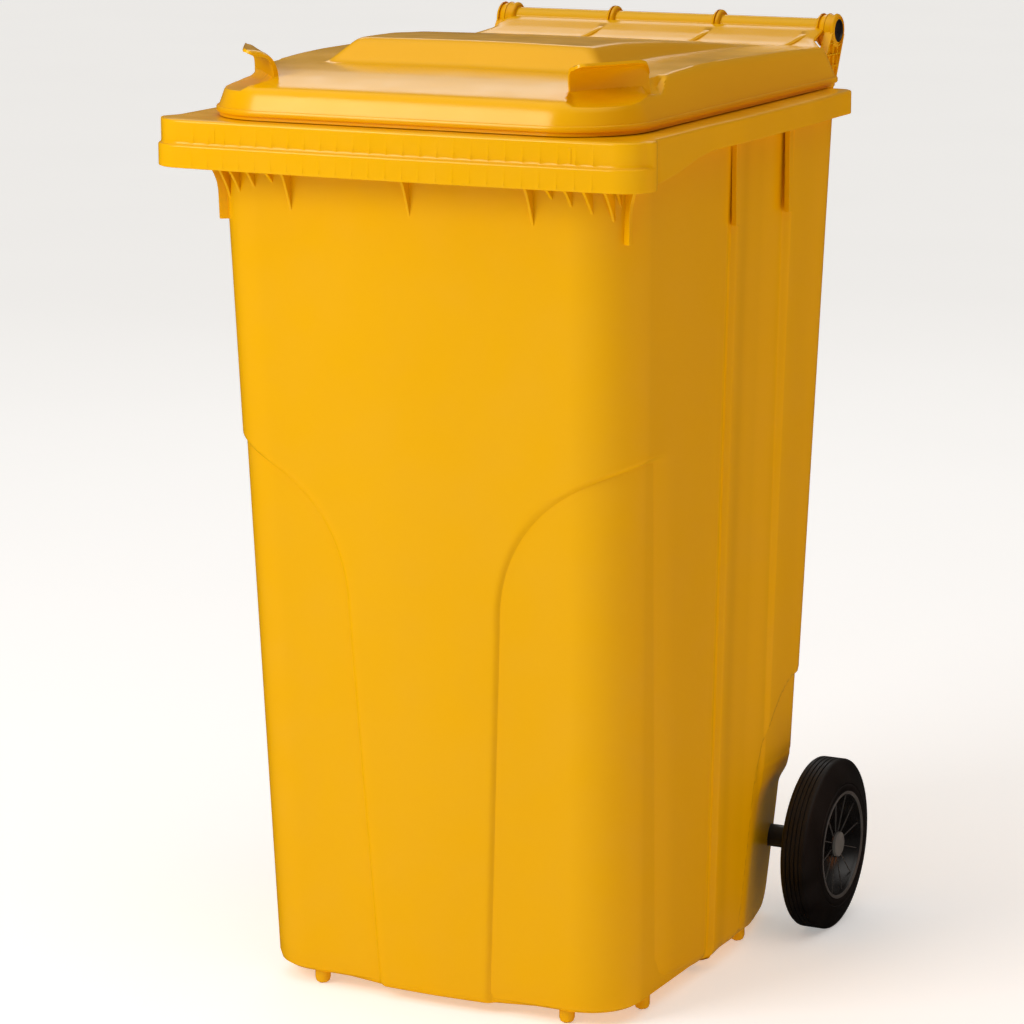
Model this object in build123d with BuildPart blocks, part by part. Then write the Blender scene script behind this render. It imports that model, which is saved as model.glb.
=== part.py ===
from build123d import *
import os

# Two-wheeled refuse bin of about 240 litres with a hinged lid. Millimetres, +Z up, +Y towards the
# wheels, X across. The origin is on the floor, under the middle of the whole bin.

# ---- Overall sizes
overall_depth = 727.5
front = -overall_depth / 2  # y of the rim's foremost face; depths below are measured from it

# ---- Tub: a tapering shell whose side walls step out twice towards the rear
wall = 4
floor_z = 12  # underside of the tub, which stands on low feet
rim_top = 975
taper_height = 950  # height over which the tapers below are stated
half_width, half_width_gain = 226, 24
front_depth, front_gain = 97, -45
rear_depth, rear_gain = 575, 42
front_corner, rear_corner = 66, 40
step_1_depth, step_1 = 330, 4
step_2_depth, step_2, step_2_gain = 462, 1, 7

# ---- Rim: a downturned flange round the front and both sides, which a lifting comb takes hold of
rim_half = 290
rim_side = 282
rim_bulge = 285
rim_rear, rim_rear_corner = 604, 19
rim_skirt_front = 924  # underside of the skirt at the front
rim_skirt_side = 948.5
rim_skin = 5
band_z = 949  # the rim's front face steps back above this height
band_step = 4

# ---- Wheels and axle
axle_y, axle_z, axle_r = front + 555.4, 100, 10
axle_end = 288
wheel_r = 100
wheel_in, wheel_out = 250, 300  # faces of the wheel, across the bin
tread_inset = 10  # the tyre's sides slope in from the faces of the wheel by this much
rim_r = 63.5  # outside of the wheel's core, inside of its tyre
pocket_x = 208  # the tub's wheel pockets are cut in to here
pocket_r = 116
bay_depth, bay_top = 532, 131  # space under the tub's rear edge that the axle crosses
cheek = 22  # thickness of the tub between the bay and a wheel pocket
rear_clear = 660  # depth just behind the tub, which the pockets and the bay are cut through to

# ---- Hinge
tube_y, tube_z, tube_r = front + 708, 1030.5, 13.5
eye_r = 19.5
bracket_in, bracket_out = 207, 218
outer_knuckle = (195, 205.5)  # from and to, across the bin
inner_knuckle = (63.5, 72.5)
knuckle_play = 0.1

# ---- Lid
lid_skin = 3.5
bead_bottom, bead_top = 979.5, 986.5
lid_front, lid_rear = 27, 645
lid_half, lid_corner, lid_rear_corner = 252, 85, 20
bead_step = 3
side_lean = 24  # degrees from upright
plateau_middle, plateau_half, plateau_reach, plateau_lean = 408, 180, 230, 45

# ---- Thumb tabs. Each stands at 45 degrees to the front, on a line through tab_x, tab_depth. The profile
# is (reach outwards, z) and the plan (along the line towards the rear, reach inwards).
tab_x, tab_depth = 205, 112
tab_profile = [
    (-10, 1004),
    (0, 1004),
    (0.5, 1018),
    (2.5, 1027),
    (6, 1034),
    (10, 1038.5),
    (15.5, 1040.5),
    (30, 1042.5),
    (33, 1044.5),
    (32, 1047.5),
    (14, 1045),
    (7, 1042),
    (2, 1036.5),
    (-1.5, 1028),
    (-3.5, 1018),
]
tab_plan = [(-44, 12), (-50, -34), (-32, -34), (31, -16), (43, -8), (43, 12)]

# The flat pad that fingers reach over, cut into the lid's corner outside each tab
pad_z = 1009
pad_plan = [(-44, 0), (-70, -40), (-60, -100), (70, -100), (60, 0)]

# ---- Hinge flange of the lid, as (depth, z): up along its underside, back down along its top
flange_outline = [
    (612, 1014),
    (645, 1014),
    (668, 1022),
    (692, 1029.5),
    (692, 1035.5),
    (664, 1027.5),
    (640, 1020.5),
    (612, 1020.5),
]


def tub_outline(z, inset):
    """Corners of the tub's level section at height z, moved in by inset."""
    rise = z / taper_height
    half = half_width + half_width_gain * rise - inset
    y_front = front + front_depth + front_gain * rise + inset
    y_rear = front + rear_depth + rear_gain * rise - inset
    y_1 = front + step_1_depth + inset
    y_2 = front + step_2_depth + inset
    half_2 = half + step_1
    half_3 = half_2 + step_2 + step_2_gain * rise
    right = [
        (half, y_front),
        (half, y_1),
        (half_2, y_1 + 8),
        (half_2, y_2),
        (half_3, y_2 + 10),
        (half_3, y_rear),
    ]
    return right + [(-x, y) for x, y in reversed(right)]


def tub_section(z, inset):
    """The tub's level section at height z as a face with rounded corners."""
    with BuildSketch(Plane.XY.offset(z)) as section:
        with BuildLine():
            Polyline(*tub_outline(z, inset), close=True)
        make_face()
        fillet(section.vertices().group_by(Axis.Y)[0], front_corner - inset)
        fillet(section.vertices().group_by(Axis.Y)[-1], rear_corner - inset)
    return section.sketch


def side_plane(x):
    """A plane across the bin at x, whose own x runs to the rear and whose own y runs up."""
    return Plane(origin=(x, 0, 0), x_dir=(0, 1, 0), z_dir=(1, 0, 0))


def slab(x_from, x_to, points):
    """A flat plate between two x values, with the outline points given as (depth from front, z)."""
    with BuildPart() as plate:
        with BuildSketch(side_plane(x_from)):
            with BuildLine():
                Polyline(*[(front + depth, z) for depth, z in points], close=True)
            make_face()
        extrude(amount=x_to - x_from)
    return plate.part


def bar(x_from, x_to, y, z, radius):
    """A round bar along X."""
    with BuildPart() as rod:
        with BuildSketch(side_plane(x_from)):
            with Locations((y, z)):
                Circle(radius)
        extrude(amount=x_to - x_from)
    return rod.part


def block(x_from, x_to, y_from, y_to, z_from, z_to):
    """A box between two corners."""
    with BuildPart() as box:
        with Locations(((x_from + x_to) / 2, (y_from + y_to) / 2, (z_from + z_to) / 2)):
            Box(x_to - x_from, y_to - y_from, z_to - z_from)
    return box.part


# ---- Container: tub, rim, ribs, feet, wheel pockets and hinge brackets, moulded in one
tub_outside = loft([tub_section(floor_z, 0), tub_section(rim_top, 0)], ruled=True)
tub_inside = loft([tub_section(floor_z + 5, wall), tub_section(rim_top + 5, wall)], ruled=True)
mirror_side = Plane.YZ


def rim_outline(inset):
    """The rim's outline from above: a slightly bowed front, rounded corners and long sides."""
    with BuildSketch() as outline:
        with BuildLine():
            ThreePointArc((-252, front + 6.5), (0, front), (252, front + 6.5))
            ThreePointArc((252, front + 6.5), (279, front + 15), (rim_half, front + 38))
            Polyline(
                (rim_half, front + 38),
                (rim_side, front + 56),
                (rim_side, front + 200),
                (rim_bulge, front + 300),
                (rim_bulge, front + 455),
                (rim_side, front + rim_rear),
                (-rim_side, front + rim_rear),
                (-rim_bulge, front + 455),
                (-rim_bulge, front + 300),
                (-rim_side, front + 200),
                (-rim_side, front + 56),
                (-rim_half, front + 38),
            )
            ThreePointArc((-rim_half, front + 38), (-279, front + 15), (-252, front + 6.5))
        make_face()
        fillet(outline.vertices().group_by(Axis.Y)[-1], rim_rear_corner)
        if inset:
            offset(amount=-inset, kind=Kind.INTERSECTION)
    return outline.sketch


rim_face = rim_outline(0)
upper_band_face = rim_outline(band_step)
hollow_face = rim_outline(band_step + 4)

with BuildPart() as rim:
    extrude(rim_face, amount=rim_top, dir=(0, 0, 1))
    with BuildSketch(side_plane(-300)):
        with BuildLine():
            Polyline(
                (front - 5, -5),
                (front + 800, -5),
                (front + 800, rim_skirt_side),
                (front + 224, rim_skirt_side),
                (front + 146, 942),
                (front + 71, 929.5),
                (front + 38, rim_skirt_front),
                (front - 5, rim_skirt_front),
                close=True,
            )
        make_face()
    extrude(amount=600, mode=Mode.SUBTRACT)
    with BuildSketch(Plane.XY.offset(band_z)):
        add(rim_face)
        add(upper_band_face, mode=Mode.SUBTRACT)
        with Locations((0, front + 500)):
            Rectangle(700, 920, mode=Mode.SUBTRACT)
    extrude(amount=40, mode=Mode.SUBTRACT)
    with BuildSketch(Plane.XY.offset(900)):
        add(hollow_face)
    extrude(amount=rim_top - rim_skin - 900, mode=Mode.SUBTRACT)

# Ribs under the front of the rim: x, and the height at which each meets the tub's front wall
front_ribs = [(0, 869), (143, 875), (165, 907), (187, 900), (208, 894)]
rib_thick = 3.5


def front_rib(x, z_end):
    return slab(
        x - rib_thick / 2,
        x + rib_thick / 2,
        [(8, 972), (8, 950), (26, 930), (41, 912), (56, z_end), (66, z_end - 2), (66, 972)],
    )


def corner_rib():
    """The tall rib at a front corner, at 55 degrees to the front: a slant on an upright foot."""
    corner = Plane(origin=(182, front + 121, 0), x_dir=(0.82, -0.57, 0), z_dir=(0.57, 0.82, 0))
    with BuildPart() as rib:
        with BuildSketch(corner):
            with BuildLine():
                foot_line = [(58, -972), (58, -862), (76, -862), (77, -893)]
                Polyline(*foot_line, (84, -911), (96, -929), (118, -955), (118, -972), close=True)
            make_face()
        extrude(amount=2.25, both=True)
    return rib.part


foot_root = 4  # how far a foot reaches up into the floor of the tub

# Short upright ribs on the sides, at each step of the wall
side_ribs = [(325, 336, 255), (455, 466, 262)]

# Feet on the right-hand side: x from and to, depth from and to
feet = [(144, 160, 110, 126), (199, 215, 186, 202), (199, 215, 450, 466)]

bracket_outline = [(604, 905), (604, 972), (650, 976), (690, 1030), (726, 1024), (703, 976), (660, 925)]
bracket_outline += [(628, 892)]

with BuildPart() as container:
    add(tub_outside)
    add(rim.part)
    for x, z_end in front_ribs:
        for side in {x, -x}:
            add(front_rib(side, z_end))
    diagonal = corner_rib()
    add(diagonal)
    add(diagonal.mirror(mirror_side))
    for depth_from, depth_to, x_out in side_ribs:
        rib = block(x_out - 12, x_out, front + depth_from, front + depth_to, 852, rim_top - 2)
        add(rib)
        add(rib.mirror(mirror_side))
    for x_from, x_to, depth_from, depth_to in feet:
        foot = block(x_from, x_to, front + depth_from, front + depth_to, 0, floor_z + foot_root)
        add(foot)
        add(foot.mirror(mirror_side))
    # Rear rim and hinge brackets
    add(block(-bracket_out, bracket_out, front + 606, front + 638, 966, 972))
    bracket = slab(bracket_in, bracket_out, bracket_outline)
    eye = bar(bracket_in - 0.5, bracket_out, tube_y, tube_z, eye_r)
    for piece in (bracket, eye):
        add(piece)
        add(piece.mirror(mirror_side))
    # The hollow inside, kept off the wheel pockets and the axle bay
    add(tub_inside, mode=Mode.SUBTRACT)

# Everything the pockets and the bay push into the hollow, as solid filling before they are cut
beyond = 300  # an x outside the whole bin
filling_side = bar(pocket_x - wall, beyond, axle_y, axle_z, pocket_r + wall)
filling_bay = block(-beyond, beyond, front + bay_depth - wall, front + rear_clear, floor_z, bay_top + wall)
filling_low = block(
    pocket_x - wall, beyond, axle_y - pocket_r - wall, front + rear_clear, floor_z, axle_z
)

with BuildPart() as lining:
    for piece in (filling_side, filling_low):
        add(piece)
        add(piece.mirror(mirror_side))
    add(filling_bay)
    add(tub_outside, mode=Mode.INTERSECT)

with BuildPart() as pockets:
    for piece in (
        bar(pocket_x, beyond, axle_y, axle_z, pocket_r),
        block(pocket_x, beyond, axle_y - pocket_r, front + rear_clear, -5, axle_z),
    ):
        add(piece)
        add(piece.mirror(mirror_side))
    bay_half = pocket_x - cheek
    add(block(-bay_half, bay_half, front + bay_depth, front + rear_clear, -5, bay_top))

# Webs in the bay that hold the axle up: x from and to, and the depth of their rear edge
axle_webs = [(-76, -68), (68, 76)]
web_rear, web_bottom = 577, 72

with BuildPart() as container_body:
    add(container.part)
    add(lining.part)
    add(pockets.part, mode=Mode.SUBTRACT)
    for x_from, x_to in axle_webs:
        add(block(x_from, x_to, front + bay_depth - 1, front + web_rear, web_bottom, bay_top + 1))
    add(bar(-240, 240, axle_y, axle_z, axle_r + 0.05), mode=Mode.SUBTRACT)
    add(bar(-240, 240, tube_y, tube_z, tube_r), mode=Mode.SUBTRACT)

container_body.part.label = "container"

# ---- Hinge tube, which is also the handle, and the plug in each end
plug_head = 3
with BuildPart() as handle_tube:
    add(bar(-bracket_out + plug_head, bracket_out - plug_head, tube_y, tube_z, tube_r))
    add(bar(-240, 240, tube_y, tube_z, tube_r - 3), mode=Mode.SUBTRACT)
handle_tube.part.label = "handle_tube"


def hinge_plug():
    with BuildPart() as plug:
        add(bar(bracket_out - plug_head, bracket_out, tube_y, tube_z, tube_r))
        add(bar(bracket_out - plug_head - 24, bracket_out, tube_y, tube_z, tube_r - 3))
    return plug.part


# ---- Lid
# Height of the lid's top along the bin, as (depth from front, z)
base_crown = [(27, 1000), (33, 1006), (40, 1010), (90, 1018), (181, 1025.5), (280, 1030), (404, 1028)]
base_crown += [(540, 1024), (645, 1019)]
plateau_crown = [(196, 1048), (206, 1052), (280, 1050.5), (362, 1044.5), (480, 1034), (612, 1018)]


def lid_face(inset):
    """The lid's outline from above, moved in by inset."""
    with BuildSketch() as face:
        with Locations((0, front + (lid_front + lid_rear) / 2)):
            Rectangle(2 * (lid_half - inset), lid_rear - lid_front - 2 * inset)
        fillet(face.vertices().group_by(Axis.Y)[0], lid_corner - inset)
        fillet(face.vertices().group_by(Axis.Y)[-1], lid_rear_corner - inset / 2)
    return face.sketch


def under_crown(crown, drop, half):
    """Everything below a crown line lowered by drop."""
    low = 900
    line = [(crown[0][0] - 40, low), (crown[0][0] - 40, crown[0][1] - 40 - drop)]
    line += [(depth, z - drop) for depth, z in crown]
    line += [(crown[-1][0] + 5, crown[-1][1] - drop), (crown[-1][0] + 5, low)]
    return slab(-half, half, line)


def corner_plan(z):
    """A level plane at a tab's place: its x runs along the tab towards the rear, its y inwards."""
    return Plane(origin=(tab_x, front + tab_depth, z), x_dir=(1, 1, 0), z_dir=(0, 0, 1))


def grip_pad(skin):
    """What is cut from the lid above a finger pad, wider by skin at its edges and lower by it."""
    outline = [(along + (skin if along > 0 else -skin), inwards + skin) for along, inwards in pad_plan]
    with BuildPart() as space:
        with BuildSketch(corner_plan(pad_z - skin)):
            with BuildLine():
                Polyline(*outline, close=True)
            make_face()
        extrude(amount=60)
    return space.part


def lid_solid(skin):
    """The lid as a full block, moved in by skin on every side and lowered by it on top."""
    pad = grip_pad(skin)
    with BuildPart() as dome:
        with BuildSketch(Plane.XY.offset(bead_top - 0.5)):
            add(lid_face(skin + bead_step))
        extrude(amount=60, taper=side_lean)
        add(under_crown(base_crown, skin, 300), mode=Mode.INTERSECT)
    with BuildPart() as plateau:
        with BuildSketch(Plane.XY.offset(1012)):
            with Locations((0, front + plateau_middle)):
                Rectangle(2 * (plateau_half - skin), 2 * (plateau_reach - skin))
        extrude(amount=60, taper=plateau_lean)
        add(under_crown(plateau_crown, skin, 300), mode=Mode.INTERSECT)
    with BuildPart() as solid:
        with BuildSketch(Plane.XY.offset(bead_bottom)):
            add(lid_face(skin))
        extrude(amount=bead_top - bead_bottom)
        add(dome.part)
        add(plateau.part)
        add(pad, mode=Mode.SUBTRACT)
        add(pad.mirror(mirror_side), mode=Mode.SUBTRACT)
    return solid.part


def thumb_tab():
    """A lifting tab on a front corner: it rises out of the lid and hooks outwards over its pad."""
    profile_plane = Plane(
        origin=(tab_x, front + tab_depth, 0), x_dir=(1, -1, 0), z_dir=(1, 1, 0)
    )
    with BuildPart() as tab:
        with BuildSketch(profile_plane):
            with BuildLine():
                Polyline(*[(reach, -z) for reach, z in tab_profile], close=True)
            make_face()
        extrude(amount=60, both=True)
        with BuildSketch(corner_plan(pad_z - 10)):
            with BuildLine():
                Polyline(*tab_plan, close=True)
            make_face()
        extrude(amount=60, mode=Mode.INTERSECT)
    return tab.part


tab = thumb_tab()
with BuildPart() as lid:
    add(lid_solid(0))
    add(tab)
    add(tab.mirror(mirror_side))
    with BuildSketch(Plane.XY.offset(bead_bottom - 1)):
        add(lid_face(lid_skin))
    extrude(amount=2, mode=Mode.SUBTRACT)
    add(lid_solid(lid_skin), mode=Mode.SUBTRACT)
    # Hinge flange, rising from the lid's rear edge to the tube, and the knuckles on it
    add(slab(-outer_knuckle[1], outer_knuckle[1], flange_outline))
    for x_from, x_to in (outer_knuckle, inner_knuckle):
        knuckle = bar(x_from, x_to, tube_y, tube_z, eye_r)
        add(knuckle)
        add(knuckle.mirror(mirror_side))
    add(bar(-240, 240, tube_y, tube_z, tube_r + knuckle_play), mode=Mode.SUBTRACT)
lid.part.label = "lid"

# ---- Axle: a steel bar with a groove near each end for the wheel's catch
groove_x, groove_wide, groove_r = 266, 7, 8
with BuildPart() as axle:
    add(bar(-axle_end, axle_end, axle_y, axle_z, axle_r))
    chamfer(axle.edges().filter_by(GeomType.CIRCLE), 1)
    for x_from in (groove_x, -groove_x - groove_wide):
        add(bar(x_from, x_from + groove_wide, axle_y, axle_z, axle_r + 1), mode=Mode.SUBTRACT)
        add(bar(x_from - 1, x_from + groove_wide + 1, axle_y, axle_z, groove_r))
axle.part.label = "axle"


def turned(points):
    """A body of revolution about the axle, from (x, radius) outline points."""
    with BuildPart() as body:
        with BuildSketch(Plane(origin=(0, axle_y, axle_z), x_dir=(1, 0, 0), z_dir=(0, -1, 0))):
            with BuildLine():
                Polyline(*points, close=True)
            make_face()
        revolve(axis=Axis((0, axle_y, axle_z), (1, 0, 0)))
    return body.part


bore_r = axle_r + 0.08
hub_r = 17.5
hub_out = 291
catch_r = 3
catch_x = groove_x + groove_wide / 2
spoke_count = 12

# Right-hand wheel: core with a dished web and thin spokes
core_outline = [
    (wheel_in + 2, 57),
    (wheel_in + 2, rim_r),
    (wheel_out - 1, rim_r),
    (wheel_out - 1, rim_r - 3.5),
    (wheel_out - 14, 57),
    (wheel_out - 31, 46),
    (wheel_out - 35, 30),
    (wheel_out - 33, hub_r),
    (hub_out, hub_r),
    (hub_out, bore_r),
    (wheel_in + 1, bore_r),
    (wheel_in + 1, hub_r),
    (wheel_in + 10, hub_r),
    (wheel_in + 8, 30),
    (wheel_in + 12, 49),
]
spoke_outline = [
    (wheel_out - 35, 16),
    (wheel_out - 12, 16),
    (wheel_out - 14, 40),
    (wheel_out - 15, 57.5),
    (wheel_out - 17, 57),
    (wheel_out - 33, 46),
    (wheel_out - 37, 30),
]
tyre_outline = [
    (wheel_in + 2, rim_r),
    (wheel_in + 1, rim_r + 6),
    (wheel_in + tread_inset, wheel_r - 2),
    (wheel_in + tread_inset + 2.5, wheel_r),
    (wheel_out - tread_inset - 2.5, wheel_r),
    (wheel_out - tread_inset, wheel_r - 2),
    (wheel_out - 1, rim_r + 6),
    (wheel_out - 2, rim_r),
]

with BuildPart() as spoke:
    with BuildSketch(Plane(origin=(0, axle_y, axle_z), x_dir=(1, 0, 0), z_dir=(0, -1, 0))):
        with BuildLine():
            Polyline(*spoke_outline, close=True)
        make_face()
    extrude(amount=1, both=True)
with BuildPart() as wheel_core:
    add(turned(core_outline))
    for turn in range(spoke_count):
        add(spoke.part.rotate(Axis((0, axle_y, axle_z), (1, 0, 0)), turn * 360 / spoke_count))
    with Locations((catch_x, axle_y, axle_z + 14)):
        Cylinder(catch_r, 12, mode=Mode.SUBTRACT)
with BuildPart() as wheel_catch:
    with Locations((catch_x, axle_y, axle_z + (groove_r + 0.5 + hub_r) / 2)):
        Cylinder(catch_r, hub_r - groove_r - 0.5)
with BuildPart() as hub_cap:
    add(bar(hub_out, hub_out + 4, axle_y, axle_z, 14.5))
    chamfer(hub_cap.edges().filter_by(GeomType.CIRCLE).sort_by(Axis.X)[-1], 1)
with BuildPart() as axle_sleeve:
    add(bar(pocket_x + 0.2, wheel_in + 0.6, axle_y, axle_z, 14))
    add(bar(pocket_x, wheel_in + 1, axle_y, axle_z, axle_r + 0.05), mode=Mode.SUBTRACT)

right_hand = {
    "wheel_core": wheel_core.part,
    "tyre": turned(tyre_outline),
    "wheel_catch": wheel_catch.part,
    "hub_cap": hub_cap.part,
    "axle_sleeve": axle_sleeve.part,
    "hinge_plug": hinge_plug(),
}
pieces = [container_body.part, handle_tube.part, lid.part, axle.part]
for name, shape in right_hand.items():
    shape.label = name + "_right"
    left = shape.mirror(mirror_side)
    left.label = name + "_left"
    pieces += [shape, left]

os.makedirs("parts", exist_ok=True)
for piece in pieces:
    export_step(piece, "parts/" + piece.label + ".step")
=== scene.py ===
import math

import bmesh
import bpy
import numpy as np
from mathutils import Matrix, Vector


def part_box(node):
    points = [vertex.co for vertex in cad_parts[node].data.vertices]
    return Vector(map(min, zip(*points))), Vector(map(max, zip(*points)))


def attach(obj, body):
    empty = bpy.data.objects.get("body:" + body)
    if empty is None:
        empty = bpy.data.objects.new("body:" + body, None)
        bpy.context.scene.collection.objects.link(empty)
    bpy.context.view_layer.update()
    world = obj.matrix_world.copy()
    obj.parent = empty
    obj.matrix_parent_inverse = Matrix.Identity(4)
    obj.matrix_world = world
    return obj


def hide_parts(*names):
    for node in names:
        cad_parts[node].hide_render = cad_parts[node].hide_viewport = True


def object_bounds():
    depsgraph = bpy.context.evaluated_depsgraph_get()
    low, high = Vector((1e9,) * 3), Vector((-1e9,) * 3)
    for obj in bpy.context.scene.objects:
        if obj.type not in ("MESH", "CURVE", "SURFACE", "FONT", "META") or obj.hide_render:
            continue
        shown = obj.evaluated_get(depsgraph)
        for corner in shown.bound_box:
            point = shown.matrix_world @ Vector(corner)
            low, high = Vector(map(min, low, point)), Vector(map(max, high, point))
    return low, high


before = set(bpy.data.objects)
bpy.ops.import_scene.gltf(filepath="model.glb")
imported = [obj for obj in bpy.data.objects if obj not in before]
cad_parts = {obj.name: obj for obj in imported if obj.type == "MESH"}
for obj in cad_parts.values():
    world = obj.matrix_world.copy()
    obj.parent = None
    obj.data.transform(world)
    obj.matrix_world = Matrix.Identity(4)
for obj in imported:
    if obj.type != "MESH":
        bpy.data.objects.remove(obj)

cad_box = [list(corner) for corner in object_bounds()]

# Lengths are in millimetres until a mesh is made. "depth" is measured from the rim's foremost face.
MM = 0.001


def in_mm(node):
    """Lowest and highest corner of a CAD node, in millimetres."""
    return [np.array(corner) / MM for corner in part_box(node)]


front = cad_box[0][1] / MM
axle_low, axle_high = in_mm("axle")
axle_depth = (axle_low[1] + axle_high[1]) / 2 - front
axle_z = (axle_low[2] + axle_high[2]) / 2
tube_low, tube_high = in_mm("handle_tube")
tube_depth = (tube_low[1] + tube_high[1]) / 2 - front
tube_z = (tube_low[2] + tube_high[2]) / 2
tube_r = (tube_high[2] - tube_low[2]) / 2
tyre_low, tyre_high = in_mm("tyre_right")
wheel_in, wheel_out = tyre_low[0], tyre_high[0]
wheel_r = (tyre_high[2] - tyre_low[2]) / 2

# Tub. Each gain is what a wall moves by over the taper's height; steps and edges are depths
floor_z, rim_top, taper_height = 12, 975, 950
wall = 4
half_width, half_gain = 226, 24
front_wall, front_gain = 97, -45
front_bow = 2.5
rear_wall, rear_gain = 575, 42
front_corner, rear_corner = 66, 40
step_1, step_2 = 330, 462
bay_half, bay_depth, bay_top = 186, 532, 131

# Raised panel on the front: half its width at the floor and at the arch's foot, then the arch
panel_low, panel_high = 62, 86
arch_foot, arch_top, arch_span = 440, 630, 200
panel_step, panel_edge = 6, 9.5

# Recess over each wheel: straight edges up to its arch's foot, then the arch
pocket_low, pocket_foot, pocket_rise = 62, 176, 127
pocket_edge, pocket_half, arch_half = 419, 145, 126
pocket_slant = 0.167
pocket_step = 4.5


# ---- Numbers and meshes
def ease(t):
    """A smooth rise from 0 to 1."""
    t = np.clip(t, 0, 1)
    return t * t * (3 - 2 * t)


def soft_min(a, b, reach):
    """The lower of two surfaces, with their meeting rounded over reach."""
    h = np.clip(0.5 + 0.5 * (b - a) / reach, 0, 1)
    return b + (a - b) * h - reach * h * (1 - h)


def soft_max(a, b, reach):
    return -soft_min(-a, -b, reach)


def lerp(a, b, t):
    return a + (b - a) * t


def quarter(count):
    """Angles of a quarter turn."""
    return np.linspace(0, math.pi / 2, count)


class Shape:
    """Points (x, depth, z) and faces, gathered before they become one piece."""

    def __init__(self):
        self.points = []
        self.faces = []
        self.total = 0

    def sheet(self, points, closed=False):
        """Quads over an array of points (rows, columns, 3). closed joins the last column to the first."""
        rows, columns = points.shape[:2]
        index = self.total + np.arange(rows * columns).reshape(rows, columns)
        if closed:
            index = np.hstack([index, index[:, :1]])
        corners = [index[:-1, :-1], index[:-1, 1:], index[1:, 1:], index[1:, :-1]]
        self.faces.extend(np.stack(corners, -1).reshape(-1, 4).tolist())
        self.points.append(points.reshape(-1, 3))
        self.total += rows * columns

    def slab(self, near, far):
        """Two matching sheets, joined along their four edges."""
        self.sheet(near)
        self.sheet(far)
        for edge in ((0,), (-1,), (slice(None), 0), (slice(None), -1)):
            self.sheet(np.stack([near[edge], far[edge]]))

    def both_sides(self, points, closed=False):
        """A sheet and its mirror image on the bin's other side."""
        self.sheet(points, closed)
        self.sheet(points * (-1, 1, 1), closed)

    def plate(self, outline, x_from, x_to):
        """A flat plate across the bin between two x values, from (depth, z) outline points."""
        ring = [np.array([(x, depth, z) for depth, z in outline]) for x in (x_from, x_to)]
        self.prism(*ring)

    def plates(self, outline, x_from, x_to):
        """The same plate on both sides."""
        for side in (1, -1):
            self.plate(outline, side * x_from, side * x_to)

    def prism(self, near, far):
        """A solid between two matching rings of points."""
        count = len(near)
        self.sheet(np.stack([near, far]), closed=True)
        for ring in (near, far):
            self.points.append(ring)
            self.faces.append(list(range(self.total, self.total + count)))
            self.total += count

    def turned(self, profile, x_side=1, centre=(0, 0), segments=96, closed=True):
        """A body of revolution about X from (x, radius) points."""
        turn = np.linspace(0, 2 * math.pi, segments, endpoint=False)
        line = np.array(profile + profile[:1] if closed else profile, float)
        x = np.repeat(line[:, :1] * x_side, segments, 1)
        depth = centre[0] + line[:, 1:] * np.cos(turn)
        z = centre[1] + line[:, 1:] * np.sin(turn)
        self.sheet(np.stack([x, depth, z], -1), closed=True)

    def ball_ended(self, low, high, radius):
        """An upright block between two corners with rounded edges."""
        low, high = np.array(low, float), np.array(high, float)
        rows = []
        for z, inset in ((low[2], 0.6), (low[2] + radius * 0.3, 0.18), (low[2] + radius, 0), (high[2], 0)):
            rows.append(rounded_ring(low[:2] + inset * radius, high[:2] - inset * radius, radius, z))
        middle = np.append((low[:2] + high[:2]) / 2, 0)
        first, last = rows[0] * (0, 0, 1) + middle, rows[-1] * (0, 0, 1) + middle
        self.sheet(np.stack([first] + rows + [last]), closed=True)


def rounded_ring(low, high, radius, z, steps=6):
    """A level rounded rectangle as a ring of points."""
    ring = []
    left, right = low[0] + radius, high[0] - radius
    near, far = low[1] + radius, high[1] - radius
    for x, depth, start in ((right, near, -90), (right, far, 0), (left, far, 90), (left, near, 180)):
        for turn in np.radians(np.linspace(start, start + 90, steps)):
            ring.append((x + radius * math.cos(turn), depth + radius * math.sin(turn), z))
    return np.array(ring)


def make_piece(name, shape, body, material, slot, stands_for=(), sharp=32, bevel=0, bevel_steps=2):
    """Turns a shape into an object that rides on a body."""
    points = np.concatenate(shape.points) + (0, front, 0)
    mesh = bpy.data.meshes.new(name)
    mesh.from_pydata((points * MM).tolist(), [], shape.faces)
    work = bmesh.new()
    work.from_mesh(mesh)
    bmesh.ops.remove_doubles(work, verts=work.verts, dist=0.02 * MM)
    bmesh.ops.dissolve_degenerate(work, edges=work.edges, dist=0.01 * MM)
    bmesh.ops.recalc_face_normals(work, faces=work.faces)
    for edge in work.edges:
        edge.smooth = len(edge.link_faces) == 2 and edge.calc_face_angle(0) < math.radians(sharp)
    for face in work.faces:
        face.smooth = True
    work.to_mesh(mesh)
    work.free()
    mesh.materials.append(material)
    piece = bpy.data.objects.new(name, mesh)
    bpy.context.scene.collection.objects.link(piece)
    if bevel:
        rounding = piece.modifiers.new("rounding", "BEVEL")
        rounding.width = bevel * MM
        rounding.segments = bevel_steps
        rounding.limit_method = "ANGLE"
        rounding.angle_limit = math.radians(sharp)
        rounding.harden_normals = True
    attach(piece, body)
    if stands_for:
        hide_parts(*stands_for)
    return piece


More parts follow.
